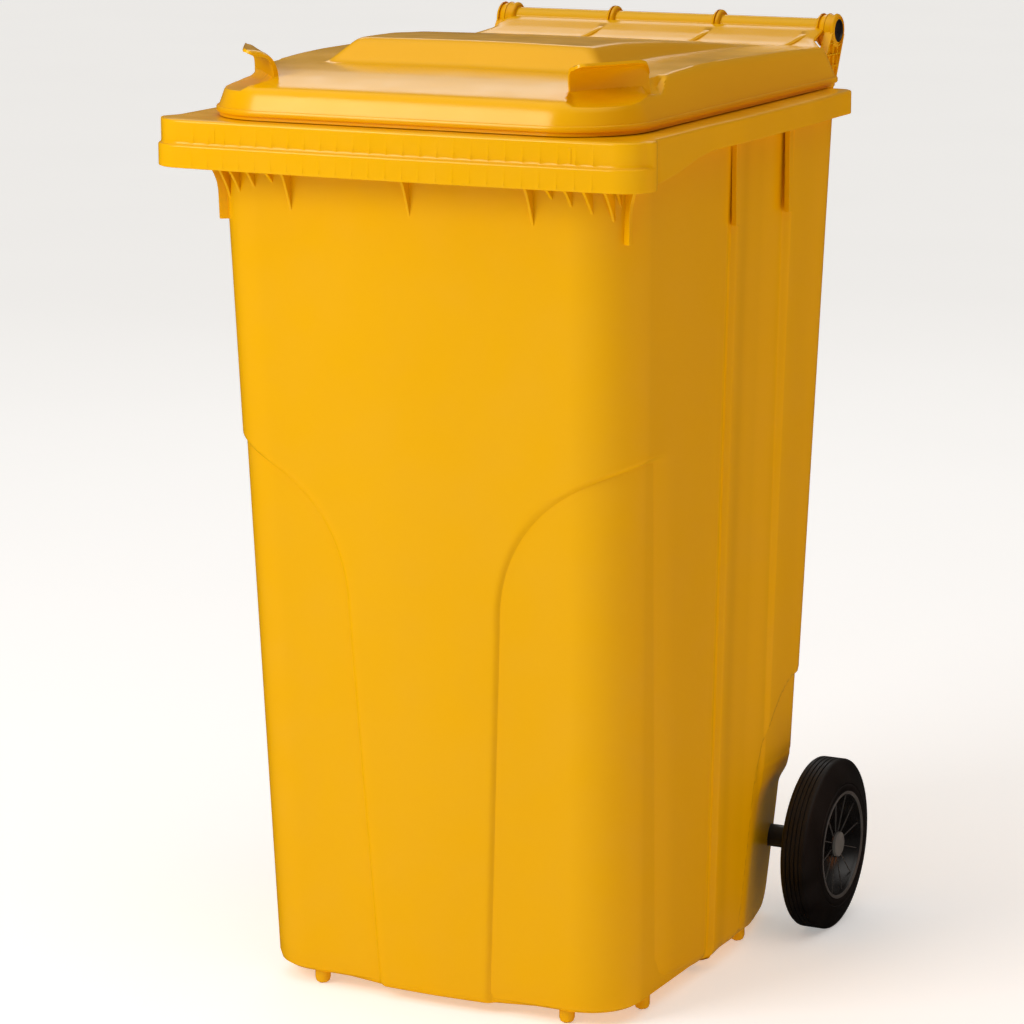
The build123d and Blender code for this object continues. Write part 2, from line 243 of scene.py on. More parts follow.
# ---- Materials
class Finish:
    """A procedural material: a Principled shader with noises in object space."""

    def __init__(self, name, colour, roughness, **settings):
        self.material = bpy.data.materials.new(name)
        self.material.use_nodes = True
        tree = self.material.node_tree
        self.nodes, self.link = tree.nodes, tree.links.new
        self.shader = self.nodes["Principled BSDF"].inputs
        self.shader["Base Color"].default_value = (*colour, 1)
        self.shader["Roughness"].default_value = roughness
        for socket, value in settings.items():
            self.shader[socket.replace("_", " ")].default_value = value
        self.place = self.nodes.new("ShaderNodeTexCoord").outputs["Object"]

    def noise(self, scale, detail=3, stretch=None):
        """A noise of about 0.3 to 0.7, stretched along the axes if asked."""
        source = self.place
        if stretch:
            mapping = self.nodes.new("ShaderNodeMapping")
            mapping.inputs["Scale"].default_value = stretch
            self.link(source, mapping.inputs["Vector"])
            source = mapping.outputs["Vector"]
        texture = self.nodes.new("ShaderNodeTexNoise")
        texture.inputs["Scale"].default_value = scale
        texture.inputs["Detail"].default_value = detail
        self.link(source, texture.inputs["Vector"])
        return texture.outputs["Fac"]

    def spread(self, value, low, high):
        """Maps a noise to the range low to high."""
        remap = self.nodes.new("ShaderNodeMapRange")
        ends = (("From Min", 0.3), ("From Max", 0.7), ("To Min", low), ("To Max", high))
        for socket, end in ends:
            remap.inputs[socket].default_value = end
        self.link(value, remap.inputs["Value"])
        return remap.outputs["Result"]

    def vary_gloss(self, value, low, high):
        self.link(self.spread(value, low, high), self.shader["Roughness"])

    def vary_colour(self, value, first, second):
        mix = self.nodes.new("ShaderNodeMix")
        mix.data_type = "RGBA"
        mix.inputs["A"].default_value = (*first, 1)
        mix.inputs["B"].default_value = (*second, 1)
        self.link(self.spread(value, 0, 1), mix.inputs["Factor"])
        self.link(mix.outputs["Result"], self.shader["Base Color"])

    def bump(self, height, strength, distance):
        bump = self.nodes.new("ShaderNodeBump")
        bump.inputs["Strength"].default_value = strength
        bump.inputs["Distance"].default_value = distance
        self.link(height, bump.inputs["Height"])
        self.link(bump.outputs["Normal"], self.shader["Normal"])


def moulded_yellow(name, first, second):
    """Glossy moulded polyethylene: a little drift in colour and gloss, and a very fine skin."""
    finish = Finish(name, first, 0.2, Specular_IOR_Level=0.42, Specular_Tint=(1, 0.9, 0.58, 1))
    finish.vary_colour(finish.noise(3.5, 2, (1, 1, 0.35)), first, second)
    finish.vary_gloss(finish.noise(22, 4), 0.17, 0.25)
    finish.bump(finish.noise(750, 2), 0.05, 0.0004)
    return finish.material


def black_rubber():
    """Matt tyre rubber: a fine grain, and patches that are rubbed paler and rougher."""
    fresh, rubbed = (0.006, 0.004, 0.003), (0.011, 0.0085, 0.007)
    finish = Finish("tyre_rubber", (0.007, 0.005, 0.004), 0.55, Specular_IOR_Level=0.28)
    patches = finish.noise(30, 4)
    finish.vary_gloss(patches, 0.42, 0.62)
    finish.vary_colour(patches, fresh, rubbed)
    finish.bump(finish.noise(900, 3), 0.25, 0.0004)
    return finish.material


def plastic(name, first, second, gloss_low, gloss_high):
    """Dark moulded plastic with patches of two shades, and a roughness between the two values."""
    finish = Finish(name, first, gloss_low)
    patches = finish.noise(45)
    finish.vary_gloss(patches, gloss_low, gloss_high)
    finish.vary_colour(patches, first, second)
    finish.bump(finish.noise(1100, 2), 0.12, 0.0003)
    return finish.material


def steel(name, level):
    """Drawn bar with fine lines along its length."""
    finish = Finish(name, (level, level, level), 0.3, Metallic=1.0)
    scratches = finish.noise(160, 4, (0.15, 1, 1))
    finish.vary_gloss(scratches, 0.22, 0.42)
    finish.vary_colour(scratches, (level * 0.85,) * 3, (level * 1.05,) * 3)
    finish.bump(scratches, 0.08, 0.0003)
    return finish.material


tub_yellow = moulded_yellow("tub_plastic", (0.93, 0.46, 0.0), (0.90, 0.44, 0.0))
lid_yellow = moulded_yellow("lid_plastic", (0.94, 0.465, 0.0), (0.91, 0.445, 0.0))
tube_yellow = moulded_yellow("tube_plastic", (0.88, 0.46, 0.0), (0.84, 0.44, 0.0))
rubber = black_rubber()
core_black = plastic("wheel_plastic", (0.008, 0.007, 0.006), (0.014, 0.012, 0.011), 0.16, 0.3)
# Grey for the wheel core's edge ring. The spokes take it too, as painted highlight standing in for light
# along their edges.
grey_ring_and_spoke_highlight = plastic("rim_ring_grey_and_spoke_highlight", (0.06, 0.055, 0.05), (0.09, 0.082, 0.075), 0.35, 0.5)
black = plastic("black_plastic", (0.012, 0.012, 0.013), (0.02, 0.02, 0.022), 0.3, 0.45)
cap_grey = plastic("cap_plastic", (0.12, 0.115, 0.105), (0.15, 0.145, 0.13), 0.4, 0.55)
axle_metal = steel("axle_steel", 0.5)
catch_metal = steel("catch_steel", 0.6)


# ---- Tub
def tub_side(depth, rise):
    """How far the side wall stands out at a depth: a step, a hollow band, a second step."""
    out = -0.9 * ease((depth - step_1 + 12) / 8) + 5.6 * ease((depth - step_1 + 1) / 6)
    out += -3.4 * ease((depth - step_1 - 6) / 42) + 2.4 * ease((depth - 408) / 48)
    out += (1.2 + 7 * rise) * ease((depth - step_2 + 1) / 10)
    return out - 1.4 * ease((depth - step_2 - 12) / 70)


front_steps = np.linspace(0, 1, 70, endpoint=False)
front_turn = quarter(41)[:-1]
side_steps = np.linspace(0, 1, 14, endpoint=False)
detail_start, detail_end = step_1 - 12, step_2 + 14
side_depths = np.concatenate([
    np.arange(detail_start, step_1 + 8, 1.5), np.arange(step_1 + 8, 402, 9), np.arange(404, step_2 - 4, 2.4),
    np.arange(step_2 - 4, detail_end, 1.5),
])
rear_steps = np.linspace(0, 1, 26, endpoint=False)
rear_turn = quarter(23)[:-1]
cheek_steps = np.linspace(0, 1, 6)
bay_steps = np.linspace(0, 1, 22)


def tub_base(z):
    """The outline's right half at heights z (rows, 1): x, depth and the columns in each stretch."""
    rise = z / taper_height
    half = half_width + half_gain * rise
    near = front_wall + front_gain * rise
    far = rear_wall + rear_gain * rise
    flat = half - front_corner
    bow = front_bow / 2 * (1 + np.cos(math.pi * front_steps))
    columns = [(flat * front_steps, near - bow)]
    columns.append((flat + front_corner * np.sin(front_turn), near + front_corner * (1 - np.cos(front_turn))))
    depth = lerp(near + front_corner, detail_start, side_steps)
    columns.append((half + 0 * depth, depth))
    depth = side_depths + 0 * half
    columns.append((half + tub_side(depth, rise), depth))
    depth = lerp(detail_end, far - rear_corner, rear_steps)
    columns.append((half + tub_side(depth, rise), depth))
    corner_x = half + tub_side(far - rear_corner, rise) - rear_corner
    columns.append((corner_x + rear_corner * np.cos(rear_turn), far - rear_corner * (1 - np.sin(rear_turn))))
    columns.append((lerp(corner_x, bay_half, cheek_steps), far + 0 * cheek_steps))
    columns.append((bay_half * (1 - bay_steps) + 0 * half, far + 0 * bay_steps))
    counts = [across.shape[-1] for across, _ in columns]
    sizes = [(len(z), count) for count in counts]
    x, depth = (np.hstack([np.broadcast_to(*pair) for pair in zip(part, sizes)]) for part in zip(*columns))
    return x, depth, counts


def distance_to(s, z, line):
    """Distance of points (s, z) from a line of points."""
    gap = np.hypot(s[..., None] - line[:, 0], z[..., None] - line[:, 1])
    return gap.min(-1)


def panel_reach(z):
    """Arc length from the front's middle to the raised panel's edge at height z."""
    straight = lerp(panel_low, panel_high, z / arch_foot)
    rise = np.clip((z - arch_foot) / (arch_top - arch_foot), 0, 1)
    return np.where(z < arch_foot, straight, panel_high + arch_span * (1 - np.sqrt(1 - rise**2.25)))


def front_recess(s, z):
    """How far the front's lower corners lie behind its raised panel. s is the arc length."""
    turn = quarter(200)
    heights = np.concatenate([np.arange(0, arch_foot, 1.5), lerp(arch_foot, arch_top, np.sin(turn))])
    line = np.column_stack([panel_reach(heights), heights])
    arch_end = panel_high + arch_span
    line = np.vstack([line, [(place, arch_top) for place in range(arch_end, arch_end + 154, 2)]])
    inside = (s > panel_reach(z)) & (z < arch_top)
    gap = distance_to(s, z, line) * np.where(inside, 1, -1)
    fade = 1 - ease((s - 272) / 60)
    return panel_step * ease((gap + 0.3) / panel_edge) * fade


def pocket_reach(z):
    """Half the width of the recess over a wheel at height z, along the outline."""
    t = np.clip((z - pocket_foot) / pocket_rise, 0, 1)
    straight = pocket_half - (z - pocket_low) * pocket_slant
    return np.where(z < pocket_foot, straight, arch_half * np.sqrt(1 - t**1.6))


def rear_recess(s, z):
    """How far the recess over each wheel lies behind the wall. s is the arc length from its middle."""
    turn = quarter(50)
    heights = np.concatenate([np.arange(0, pocket_foot, 4), pocket_foot + pocket_rise * np.sin(turn)])
    line = np.column_stack([pocket_reach(heights), heights])
    inside = (abs(s) < pocket_reach(z)) & (z < pocket_foot + pocket_rise)
    gap = distance_to(abs(s), z, line) * np.where(inside, 1, -1)
    return pocket_step * ease((gap + 0.3) / 4.5)


def pocket_face(depth, z):
    """How far out the wheel pocket lets the wall stand: it slants inwards from its front edge."""
    face = 207 + (z - 156) * 0.109 + 14 * ease((z - 160) / 35) + 0.8 * np.clip(z - 195, 0, None)
    low_edge = pocket_edge + (z - pocket_low) * pocket_slant
    front_edge = np.where(z < pocket_foot, low_edge, 438 + 0.6 * (z - pocket_foot))
    open_face = half_width + half_gain * z / taper_height + 1.5
    share = np.clip((depth - front_edge - 6) / (rear_wall - front_edge), 0, 1)
    held = face + np.clip(open_face - face, 0, None) * (1 - share)
    return held + 2 * np.clip(front_edge + 8 - depth, 0, None)


def tub_wall(z, inset, in_bay, relief=True, skin=0):
    """Points of the right half of the tub's wall. z and inset are (rows, columns); skin is how
    far behind the outer face the wall is."""
    x, depth, counts = tub_base(z[:, :1])
    level = z[:, :1] * 0 + z
    ends = np.cumsum(counts)
    along_x, along_depth = np.gradient(x, axis=1), np.gradient(depth, axis=1)
    length = np.hypot(along_x, along_depth)
    out_x, out_depth = along_depth / length, -along_x / length
    out_x[:, 0], out_depth[:, 0], out_x[:, -1], out_depth[:, -1] = 0, -1, 0, 1
    run = np.hstack([np.zeros((len(z), 1)), np.cumsum(np.hypot(np.diff(x), np.diff(depth)), axis=1)])
    depth_in = inset.copy()
    if relief:
        near_front = run < 430
        depth_in[near_front] += front_recess(run[near_front], level[near_front])
        at = slice(ends[4], ends[4] + 1)
        from_middle = run - (run[:, at] + pocket_edge + pocket_half - depth[:, at])
        near_rear = abs(from_middle) < 160
        depth_in[near_rear] += rear_recess(from_middle[near_rear], level[near_rear])
    x, depth = x - out_x * depth_in, depth - out_depth * depth_in
    limit = pocket_face(depth, level) - skin
    by_pocket = (depth > pocket_edge - 10) & (level < 260) & (x > 190 - skin)
    x = np.where(by_pocket, soft_min(x, limit, 3), x)
    bay_columns = np.arange(x.shape[1]) >= ends[6]
    bay_face = np.minimum(depth, bay_depth - skin - 0.3 * inset)
    depth = np.where(in_bay[:, None] & bay_columns, bay_face, depth)
    return np.stack([x, depth, level], -1), ends


def edge_radius(columns, ends):
    """Radius of the tub's bottom edge, column by column."""
    places = [0, ends[0] * 0.45, ends[0], ends[1], ends[2], ends[4], ends[5], ends[6], columns]
    radii = [8, 10, 30, 42, 22, 19, 24, 10, 10]
    return np.interp(np.arange(columns), places, radii)


def build_tub():
    """The tub as one closed skin: outer wall, bottom, inner wall, inner floor and the top edge."""
    shape = Shape()
    _, _, counts = tub_base(np.array([[20.0]]))
    ends, columns = np.cumsum(counts), sum(counts)
    radius = edge_radius(columns, ends)
    turn = quarter(9)[:, None]
    low_z = floor_z + radius * (1 - np.cos(turn))
    low_inset = radius * (1 - np.sin(turn))
    rise_z = lerp(low_z[-1], 60, np.array([0.35, 0.7])[:, None])
    levels = np.concatenate([
        np.arange(60, 128, 4), [bay_top, bay_top], np.arange(135, 312, 4.4), np.arange(316, 436, 8),
        np.arange(440, 590, 5), np.arange(590, 645, 2.2), np.linspace(655, rim_top - 1, 8),
    ])
    z = np.vstack([low_z, rise_z, levels[:, None] + 0 * radius])
    inset = np.vstack([low_inset, np.zeros((len(z) - len(low_inset), columns))])
    first_top = len(low_z) + len(rise_z) + int(np.argmax(levels == bay_top))
    in_bay = np.arange(len(z)) <= first_top
    outer, _ = tub_wall(z, inset, in_bay)
    shape.both_sides(outer)
    close_floor(shape, outer[0], bay_depth)
    inner_floor, inner_bay = floor_z + wall, bay_depth - wall - 3
    low_levels = [inner_floor, inner_floor + 4, 28, 45, 75, 105, bay_top + wall]
    levels = np.concatenate([
        low_levels, [bay_top + wall], np.arange(150, 270, 15), np.linspace(280, rim_top - 1, 12),
    ])
    z = levels[:, None] + 0 * radius
    inset = wall + np.vstack([0 * radius + 8, 0 * radius + 2, np.zeros((len(z) - 2, columns))])
    in_bay = np.arange(len(z)) < len(low_levels)
    inner, _ = tub_wall(z, inset, in_bay, relief=False, skin=wall)
    inner[in_bay, :, 1] = np.minimum(inner[in_bay, :, 1], inner_bay)
    shape.both_sides(inner)
    close_floor(shape, inner[0], inner_bay)
    shape.both_sides(np.stack([outer[-1], inner[-1]]))
    return shape


def close_floor(shape, ring, limit):
    """Closes a level half ring: the strips beside the axle bay, then rings to the middle."""
    held = ring.copy()
    held[:, 1] = np.minimum(held[:, 1], limit)
    middle = np.array([0, 320, ring[0, 2]])
    rows = [ring, held] + [middle + (held - middle) * share for share in (0.75, 0.5, 0.25, 0)]
    shape.both_sides(np.stack(rows))


# ---- Rim
rim_half, rim_side, rim_bulge = 290, 281.5, 285
rim_corner, rim_corner_end = 38, 38
rim_rear, rim_rear_corner = 604, 19
rim_band = 4.2
tick_pitch, tick_count, tick_half = 19.5, 13, 1.8


def rim_path():
    """The rim's right half from above, (x, depth), from the front's middle to the rear end."""
    around_tick = tick_half * np.array([-4.2, -1, -0.5, 0, 0.5, 1, 4.2])
    ticks = tick_pitch * np.arange(tick_count)[:, None] + around_tick
    flat = rim_half - rim_corner
    x = np.append(ticks[ticks >= 0], flat - 3)
    points = [np.column_stack([x, 1 + 5 * (x / flat) ** 2.2])]
    turn = quarter(26)
    corner_depth = rim_corner_end - (rim_corner_end - 6) * np.cos(turn)
    points.append(np.column_stack([flat + rim_corner * np.sin(turn), corner_depth]))
    t = np.linspace(0.08, 1, 12)
    narrowing = lerp(rim_corner_end, rim_corner_end + 24, t)
    points.append(np.column_stack([lerp(rim_half, rim_side, ease(t)), narrowing]))
    depth = np.arange(70, rim_rear - rim_rear_corner, 7.0)
    side = rim_side + (rim_bulge - rim_side) * ease((depth - 190) / 100) * (1 - ease((depth - 455) / 110))
    points.append(np.column_stack([side, depth]))
    turn = quarter(12)
    middle = np.array([rim_side, rim_rear]) - rim_rear_corner
    points.append(middle + rim_rear_corner * np.column_stack([np.cos(turn), np.sin(turn)]))
    return np.vstack(points)


def skirt_bottom(depth):
    """Underside of the rim's skirt along the bin."""
    places = [0, 40, 71, 98, 121, 146, 165, 185, 205, 224, 600]
    heights = [924, 924.6, 929.4, 932.2, 935.5, 940.8, 944.3, 946.6, 948, 948.5, 948.5]
    return np.interp(depth, places, heights)


def rim_roots(path):
    """Where the rim meets the tub's wall, for each point of its path."""
    tub_x, tub_depth, _ = tub_base(np.array([[970.0]]))
    side = slice(90, 200)
    tub_x, tub_depth = tub_x[0][side], tub_depth[0][side]
    rise = 1.02
    centre_x = half_width + half_gain * rise - front_corner
    centre = np.array([centre_x, front_wall + front_gain * rise + front_corner])
    roots = []
    for x, depth in path:
        if x <= centre[0]:
            roots.append((x, centre[1] - front_corner + 2))
        elif depth < centre[1]:
            toward = np.array([x, depth]) - centre
            roots.append(centre + toward * (front_corner - 2) / np.hypot(*toward))
        else:
            wall_x = np.interp(depth, tub_depth, tub_x) - 2
            roots.append((lerp(wall_x, 243, ease((depth - centre[1]) / 60)), depth - 1))
    return np.array(roots)


def build_rim():
    """The downturned rim: sections of one closed outline along the rim's path, right and left."""
    path = rim_path()
    along = np.gradient(path, axis=0)
    along /= np.hypot(along[:, 0], along[:, 1])[:, None]
    inward = np.column_stack([-along[:, 1], along[:, 0]])
    inward[0] = (0, 1)
    roots = rim_roots(path)
    banded = (1 - ease((path[:, 1] - 26) / 12))[:, None]
    upper = rim_band * banded
    from_tick = abs((path[:, 0] + tick_pitch / 2) % tick_pitch - tick_pitch / 2)
    in_front = (path[:, 0] < 250) & (path[:, 1] < 20)
    mark = (np.maximum(0, 1 - from_tick / tick_half) * in_front)[:, None]
    ridge = 0.22 * np.maximum(0, mark * 2 - 1)
    z_low = skirt_bottom(path[:, 1])[:, None]
    mid = np.maximum(949.0, z_low + 14)
    sections = []

    def add(offset, z):
        """A line along the rim, at an offset inwards from its path and a height."""
        sections.append(np.column_stack([path + inward * offset, z + 0 * upper]))

    for turn in np.radians((0, 30, 60, 90)):
        add(upper + 2.4 * (1 - np.sin(turn)), rim_top - 2.4 * (1 - np.cos(turn)))
    add(upper - ridge, rim_top - 3.4)
    add(upper - ridge, lerp(mid, rim_top, 0.36))
    add(upper - ridge - 0.9 * mark, lerp(mid, rim_top, 0.16))
    add(upper - 0.4 * mark, lerp(mid, rim_top, 0.08))
    add(upper - 0.6 * banded, lerp(mid, rim_top, 0.03))
    add(upper * 0.55 + 0.8 * banded, mid)
    for turn in np.radians((0, 30, 60, 90)):
        add(2.0 * (1 - np.sin(turn)) * banded, mid - 0.2 - 2.0 * (1 - np.cos(turn)))
    add(-ridge, mid - 3.2)
    add(-ridge, z_low + 8)
    add(-ridge - 0.8 * mark, z_low + 3.6)
    add(-0.2 * mark, z_low + 1.8)
    for turn in np.radians((0, 45, 90)):
        add(1.2 * (1 - np.cos(turn)), z_low + 1.2 * (1 - np.sin(turn)))
    add(3.4, z_low)
    add(4.2, z_low + 1)
    add(4.4, np.maximum(943.0, z_low + 3))
    add(4.4 + upper, np.maximum(950.0, z_low + 5))
    add(5.0 + upper, 970.5)
    ledge_start, ledge_end = lerp(roots, path, 0.04), path + inward * (upper + 2.4)
    back = [(roots, 969.5), (roots, rim_top - 0.6)]
    back += [(lerp(ledge_start, ledge_end, share), rim_top) for share in (0, 0.25, 0.5, 0.75)]
    for place, z in back:
        sections.append(np.column_stack([place, np.full(len(path), z)]))
    shape = Shape()
    shape.both_sides(np.stack(sections, 1), closed=True)
    return shape


# ---- Ribs, feet and hinge brackets, moulded with the tub
# Front ribs as (x, lowest z), side ribs as (depth from, depth to, x), the middle round which the
# front corner turns, the corner plates' direction, and the feet as (x, depth)
front_ribs = [(0, 869), (143, 875), (165, 907), (187, 900), (208, 894)]
rib_thick = 3.5
side_ribs = [(325, 336, 255), (455, 466, 262.5)]
turn_x, turn_depth = 182, 121
corner_turn = math.radians(55)
feet = [(152, 118), (207, 194), (207, 458)]


def front_rib(shape, x, z_end):
    """A rib from the rim's underside down to the front wall, with a slightly hollow edge."""
    back = front_wall + front_gain * z_end / taper_height
    corner = half_width + half_gain - front_corner
    if x > corner:
        back += front_corner - math.sqrt(front_corner**2 - (x - corner) ** 2)
    edge = [(8, 952), (16, 940), (25, 930)]
    for share in np.linspace(0, 1, 8):
        edge.append((lerp(33, back + 1, share**0.75), lerp(923, z_end, share)))
    outline = [(8, 968)] + edge + [(back + 6, z_end + 4), (back + 6, 968)]
    for side in {x, -x}:
        shape.plate(outline, side - rib_thick / 2, side + rib_thick / 2)


def corner_plate(shape, outline, thick):
    """A plate at a front corner, square to the wall there, from (reach outwards, z) points."""
    across, forward = math.sin(corner_turn), math.cos(corner_turn)
    for side in (1, -1):
        rings = []
        for shift in (-thick / 2, thick / 2):
            ring = []
            for reach, z in outline:
                x = turn_x + reach * across + shift * forward
                depth = turn_depth - reach * forward + shift * across
                ring.append((side * x, depth, z))
            rings.append(np.array(ring))
        shape.prism(*rings)


def corner_blade(shape, root, z_low):
    """A thin curved blade beside the corner plate, running forwards from the corner of the wall."""
    x = turn_x + math.sqrt(front_corner**2 - (turn_depth - root - 10) ** 2) * 0.97
    edge = [(root + 8 - 34 * t, z_low + 46 * t**0.8) for t in np.linspace(0, 1, 7)]
    outline = edge + [(root - 26, 966), (root + 26, 966), (root + 26, z_low + 12)]
    for side in (x, -x):
        shape.plate(outline, side - 1.6, side + 1.6)


def build_ribs():
    """Ribs under the rim: at the front, at its corners and at the sides, and a strip at the rear."""
    shape = Shape()
    for x, z_end in front_ribs:
        front_rib(shape, x, z_end)
    slope = [(76.5 + 42 * t**1.6, 893 + 62 * t**0.9) for t in np.linspace(0, 1, 9)]
    corner_plate(shape, [(60, 966), (60, 862), (75.5, 862), (76, 878)] + slope + [(118.5, 966)], 4.5)
    for root, z_low in ((64, 886), (70, 900)):
        corner_blade(shape, root, z_low)
    for depth_from, depth_to, x_out in side_ribs:
        outline = [(depth_from, 852), (depth_to, 852), (depth_to, 971), (depth_from, 971)]
        shape.plates(outline, x_out - 6, x_out)
    shape.plate([(606, 966), (638, 966), (638, 972), (606, 972)], -216, 216)
    return shape


def build_feet():
    shape = Shape()
    for side in (1, -1):
        for x, depth in feet:
            low, high = (side * x - 8, depth - 8, 0), (side * x + 8, depth + 8, floor_z + 6)
            shape.ball_ended(low, high, 6)
    return shape


under_eye = (690, 1030)
bracket_outline = [(604, 905), (604, 972), (650, 976), under_eye]
bracket_outline += [(726, 1024), (703, 976), (660, 925), (628, 892)]
bracket_in, bracket_out, bracket_core = 207, 217.6, 214


def span_at(outline, level, axis):
    """Where an outline is crossed at a level of the given axis: the lowest and highest other coordinate."""
    hits = []
    for a, b in zip(outline, outline[1:] + outline[:1]):
        if (a[axis] - level) * (b[axis] - level) < 0:
            share = (level - a[axis]) / (b[axis] - a[axis])
            hits.append(lerp(a[1 - axis], b[1 - axis], share))
    return (min(hits), max(hits)) if hits else None


def bracket_grid():
    """The raised lines across a bracket, as outlines that stop short of the eye."""
    eye_reach, grid_pitch = 18, 13.0
    level_lines = (1, np.arange(900, 1020, grid_pitch), (tube_z, tube_depth))
    upright_lines = (0, np.arange(615, 722, grid_pitch), (tube_depth, tube_z))
    outlines = []
    for axis, levels, eye_place in (level_lines, upright_lines):
        for level in levels:
            span = span_at(bracket_outline, level, axis)
            if not span:
                continue
            low, high = span[0] + 1, span[1] - 1
            off_eye = abs(level - eye_place[0])
            if off_eye < eye_reach:
                high = min(high, eye_place[1] - math.sqrt(eye_reach**2 - off_eye**2))
            if high - low < 6:
                continue
            outline = [(low, level - 0.8), (high, level - 0.8), (high, level + 0.8), (low, level + 0.8)]
            outlines.append(outline if axis else [(z, depth) for depth, z in outline])
    return outlines


def build_brackets():
    """The plates that carry the hinge tube, each with a raised border and grid on its outer face."""
    shape = Shape()
    for side in (1, -1):
        shape.plate(bracket_outline, side * bracket_in, side * bracket_core)
        for a, b in zip(bracket_outline, bracket_outline[1:] + bracket_outline[:1]):
            if a == under_eye:
                continue
            a, b = np.array(a, float), np.array(b, float)
            along = (b - a) / np.hypot(*(b - a))
            across = np.array([along[1], -along[0]]) * 2.2
            ring = [a - along, b + along, b + along + across, a - along + across]
            shape.plate([tuple(p) for p in ring], side * (bracket_core - 1), side * bracket_out)
        for outline in bracket_grid():
            shape.plate(outline, side * (bracket_core - 1), side * (bracket_out - 0.6))
    return shape


def ring_profile(x_from, x_to, inner, outer, edge_from, edge_to):
    """A ring's section with rounded outer edges."""
    profile = [(x_from, inner)]
    for turn in np.radians((0, 30, 60, 90)):
        profile.append((x_from + edge_from * (1 - math.sin(turn)), outer - edge_from * (1 - math.cos(turn))))
    for turn in np.radians((90, 60, 30, 0)):
        profile.append((x_to - edge_to * (1 - math.sin(turn)), outer - edge_to * (1 - math.cos(turn))))
    return profile + [(x_to, inner)]


def build_tube_rings(gap, outer, spans):
    """Rings round the hinge tube on both sides, each from x to x with its two edges' rounding."""
    shape = Shape()
    for side in (1, -1):
        for x_from, x_to, edge_from, edge_to in spans:
            profile = ring_profile(x_from, x_to, tube_r + gap, outer, edge_from, edge_to)
            shape.turned(profile, side, (tube_depth, tube_z))
    return shape


eye_spans = [(206.5, 218, 0.3, 3.5)]
knuckle_spans = [(195, 206.2, 3.5, 0.3), (63.5, 72.5, 3.5, 3.5)]


# ---- Lid
lid_front, lid_rear, lid_half = 27, 645, 252
lid_corner, lid_rear_corner = 85, 30
bead_bottom, bead_top, bead_step = 979.5, 986.5, 3
lid_skin = 3.5


def lid_ring(inset):
    """The lid's outline moved in by inset, as a closed ring of (x, depth)."""
    radius = max(lid_corner - inset, 0.01)
    rear_radius = max(lid_rear_corner - inset, 0.01)
    half, near, far = lid_half - inset, lid_front + inset, lid_rear - inset
    t = np.linspace(0, 1, 40, endpoint=False)
    points = [np.column_stack([(half - radius) * t, near + 0 * t])]
    turn = quarter(29)[:-1]
    across = half - radius + radius * np.sin(turn)
    points.append(np.column_stack([across, near + radius - radius * np.cos(turn)]))
    t = np.linspace(0, 1, 110, endpoint=False)
    points.append(np.column_stack([half + 0 * t, lerp(near + radius, far - rear_radius, t)]))
    turn = quarter(13)[:-1]
    across = half - rear_radius + rear_radius * np.cos(turn)
    points.append(np.column_stack([across, far - rear_radius + rear_radius * np.sin(turn)]))
    t = np.linspace(0, 1, 44)
    points.append(np.column_stack([(half - rear_radius) * (1 - t), far + 0 * t]))
    right = np.vstack(points)
    return np.vstack([right, (right * (-1, 1))[-2:0:-1]])


# Heights of the lid's crown and of its raised middle along the bin, as (depth, z)
crown_line = [
    (27, 1002), (33, 1006.5), (40, 1010), (60, 1013.8), (90, 1018.6), (120, 1022.4), (150, 1024.8),
    (181, 1026.3), (230, 1028.8), (280, 1030), (340, 1029.6), (404, 1028), (470, 1026.2), (540, 1023.8),
    (645, 1019),
]
ridge_line = [
    (150, 1051.5), (196, 1051.5), (206, 1051.6), (235, 1051.4), (280, 1050.4), (362, 1045), (480, 1034.2),
    (560, 1025.4), (630, 1016),
]
plateau_half, plateau_front = 180, 164


def along_line(place, line):
    """Height of a line of (place, height) points."""
    places, heights = zip(*line)
    return np.interp(place, places, heights)


def smooth_line(depth, line, blur):
    """Heights along a line with its corners rounded."""
    shifts = (-1, -0.5, 0, 0.5, 1)
    return sum(along_line(depth + blur * shift, line) for shift in shifts) / len(shifts)


tab_x, tab_depth, tab_turn = 205, 112, math.radians(46)


def tab_frame(x, depth):
    """Distance outwards from a thumb tab's standing line, and along it towards the rear."""
    x, depth = abs(x) - tab_x, depth - tab_depth
    reach = x * math.sin(tab_turn) - depth * math.cos(tab_turn)
    return reach, x * math.cos(tab_turn) + depth * math.sin(tab_turn)


# The finger pad outside a tab, from under the tab outwards, as (reach outwards, z)
pad_line = [
    (-40, 1140), (-12, 1060), (-3, 1030), (0, 1021), (2, 1016), (5, 1012.6), (10, 1010.4), (20, 1008),
    (30, 1006.2), (48, 1004.2), (70, 1003),
]


def pad_height(x, depth):
    """Height of the finger pad outside each thumb tab. It rises steeply beyond the pad's two ends."""
    reach, along = tab_frame(x, depth)
    level = along_line(reach + 1.2 * np.clip(along - 36, 0, None), pad_line)
    front_end = -np.interp(reach, [0, 10, 24, 40], [43, 47, 52, 58])
    return level + 1.1 * (np.clip(front_end - along, 0, None) + np.clip(along - 61, 0, None))


def lid_height(x, depth, inset):
    """Height of the lid's top at x, depth. inset is the distance from the lid's edge."""
    lean = lerp(20, 23, ease((depth - 60) / 80))
    side_wall = bead_top + (inset - bead_step) / np.tan(np.radians(lean))
    base = smooth_line(depth, crown_line, 9)
    fall = 3.2 * ease((abs(x) - 120) / 130)
    top = soft_min(side_wall, base - 0.4 * fall, 9)
    ridge = smooth_line(depth, ridge_line, 6) - 0.9 * (x / 140) ** 2
    side_slope = 1012 + (plateau_half - abs(x)) * 0.98
    front_slope = 1010.5 + (depth - plateau_front + 0.05 * abs(x)) * 0.98 - 2.0 * ease((abs(x) - 120) / 60)
    plateau = soft_min(soft_min(side_slope, front_slope, 12), ridge, 5)
    return soft_min(soft_max(top, plateau, 4), pad_height(x, depth), 2.4)


